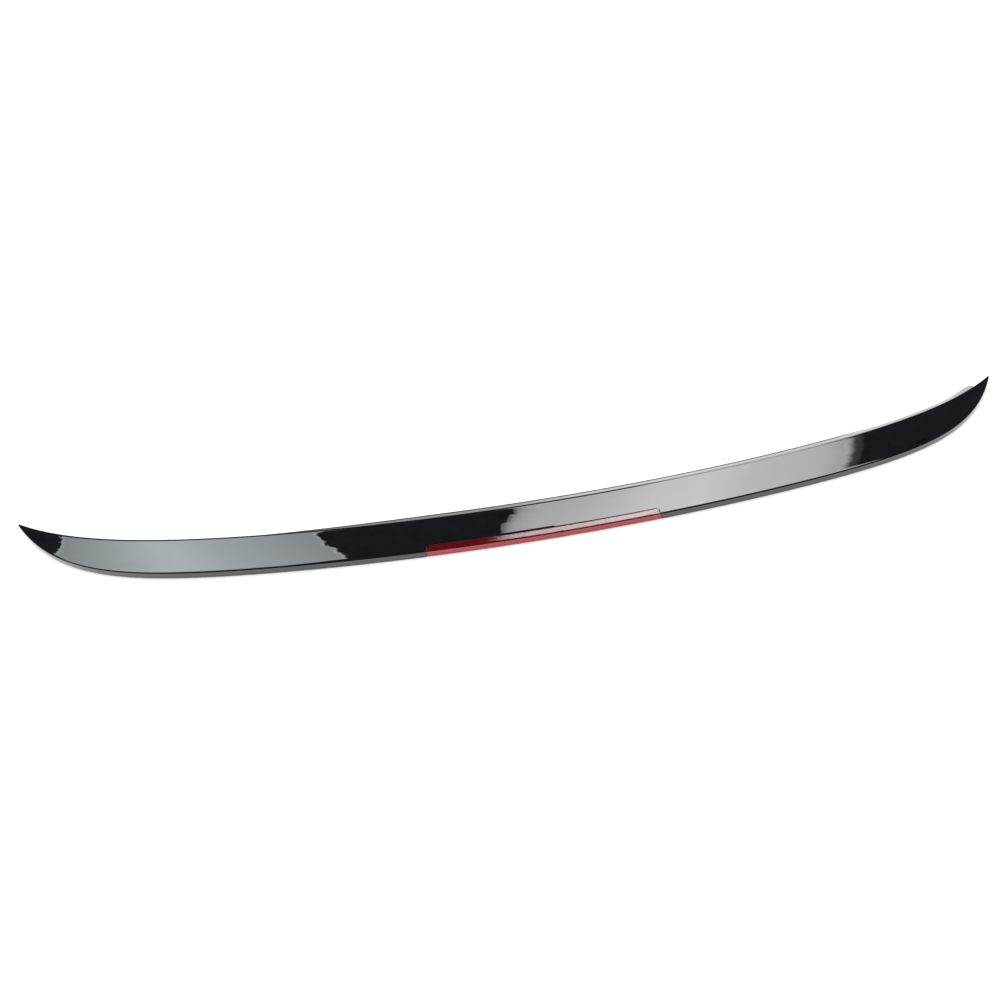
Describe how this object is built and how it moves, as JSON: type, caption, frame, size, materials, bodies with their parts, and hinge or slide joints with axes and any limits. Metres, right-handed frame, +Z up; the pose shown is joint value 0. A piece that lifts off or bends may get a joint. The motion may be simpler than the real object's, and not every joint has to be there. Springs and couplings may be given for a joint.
{
  "type": "car rear spoiler",
  "caption": "Slim crescent-shaped lip spoiler for a boot lid, gloss black, with a wrap-over red brake-light lens in the middle of its rear edge and foam tape underneath.",
  "frame": {"origin": "bottom centre of the bounding box, on the floor that the spoiler rests on", "axes": "+X to the right across the car, +Y to the front of the car, +Z up; the rear edge and the brake light face -Y"},
  "size_m": [1.22, 0.1524, 0.0096],
  "materials": {
    "gloss_black": "high-gloss moulded plastic",
    "matte_black": "as-moulded matte plastic",
    "red_lens": "clear red moulded plastic, polished outside",
    "sealant": "soft black sealant",
    "housing_black": "as-moulded black plastic",
    "board_white": "white solder mask",
    "led_white": "white package with a clear window",
    "chip_black": "matte black package",
    "screw_steel": "plain steel",
    "grommet_rubber": "soft rubber",
    "tape_foam": "closed-cell foam",
    "liner_film": "smooth release film"
  },
  "bodies": {
    "root": {"spoiler_shell": "gloss_black", "base_plate": "matte_black", "lens": "red_lens", "lens_seal": "sealant", "lamp_housing": "housing_black", "circuit_board": "board_white", "diode": "chip_black", "grommet": "grommet_rubber", "tape_front": "tape_foam", "tape_rear_left": "tape_foam", "tape_rear_middle": "tape_foam", "tape_rear_right": "tape_foam", "liner_front": "liner_film", "liner_rear_left": "liner_film", "liner_rear_middle": "liner_film", "liner_rear_right": "liner_film", "led_1": "led_white", "led_2": "led_white", "led_3": "led_white", "led_4": "led_white", "led_5": "led_white", "led_6": "led_white", "led_7": "led_white", "led_8": "led_white", "led_9": "led_white", "led_10": "led_white", "led_11": "led_white", "led_12": "led_white", "led_13": "led_white", "led_14": "led_white", "led_15": "led_white", "resistor_1": "chip_black", "resistor_2": "chip_black", "resistor_3": "chip_black", "resistor_4": "chip_black", "resistor_5": "chip_black", "case_screw_1": "screw_steel", "case_screw_2": "screw_steel", "case_screw_3": "screw_steel", "case_screw_4": "screw_steel", "case_screw_5": "screw_steel", "case_screw_6": "screw_steel"}
  },
  "joints": []
}
